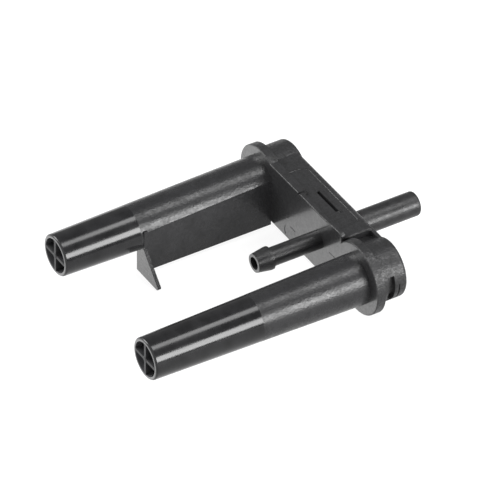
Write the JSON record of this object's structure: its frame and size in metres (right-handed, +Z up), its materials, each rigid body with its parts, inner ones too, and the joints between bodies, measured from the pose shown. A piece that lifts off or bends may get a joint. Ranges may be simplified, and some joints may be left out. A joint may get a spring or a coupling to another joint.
{
  "type": "fill valve outlet manifold",
  "caption": "Twin-tube moulded outlet manifold of a cistern fill valve, with flanged header, hose barb, inlet stub and spring-loaded non-return valves.",
  "frame": {"origin": "middle of the header's front face, halfway between the two discharge tube axes", "axes": "+X along the discharge tubes towards their open tips, +Y towards the longer (near) tube, +Z up"},
  "size_m": [0.1097, 0.0794, 0.0264],
  "materials": {
    "header_black": "black moulded plastic, fine matt texture",
    "tube_black": "black moulded plastic, polished at the tip and fine matt at the root",
    "fitting_black": "black moulded plastic, satin",
    "insert_black": "black moulded plastic, satin",
    "cap_black": "black moulded plastic, satin",
    "valve_acetal": "natural white acetal",
    "seal_rubber": "black nitrile rubber",
    "spring_steel": "stainless spring wire"
  },
  "bodies": {
    "manifold": {"header_front_plate": "header_black", "header_rear_body": "header_black", "refill_barb": "fitting_black", "inlet_stub": "fitting_black", "refill_restrictor": "valve_acetal", "inlet_strainer": "valve_acetal", "near_discharge_tube": "tube_black", "near_flow_straightener": "insert_black", "near_end_cap": "cap_black", "near_cap_o_ring": "seal_rubber", "near_valve_seat": "valve_acetal", "near_tube_gasket": "seal_rubber", "near_return_spring": "spring_steel", "near_stem_guide": "valve_acetal", "far_discharge_tube": "tube_black", "far_flow_straightener": "insert_black", "far_end_cap": "cap_black", "far_cap_o_ring": "seal_rubber", "far_valve_seat": "valve_acetal", "far_tube_gasket": "seal_rubber", "far_return_spring": "spring_steel", "far_stem_guide": "valve_acetal"},
    "near_valve": {"near_poppet": "valve_acetal", "near_poppet_seal": "seal_rubber"},
    "far_valve": {"far_poppet": "valve_acetal", "far_poppet_seal": "seal_rubber"}
  },
  "joints": [
    {"name": "near_poppet_slide", "type": "slide", "parent": "manifold", "child": "near_valve", "axis": [1, 0, 0], "range_m": [0, 0.0025], "stiffness_N_per_m": 30, "springref_m": -0.0015, "deforming": ["near_return_spring"]},
    {"name": "far_poppet_slide", "type": "slide", "parent": "manifold", "child": "far_valve", "axis": [1, 0, 0], "range_m": [0, 0.0025], "stiffness_N_per_m": 30, "springref_m": -0.0015, "deforming": ["far_return_spring"]}
  ]
}
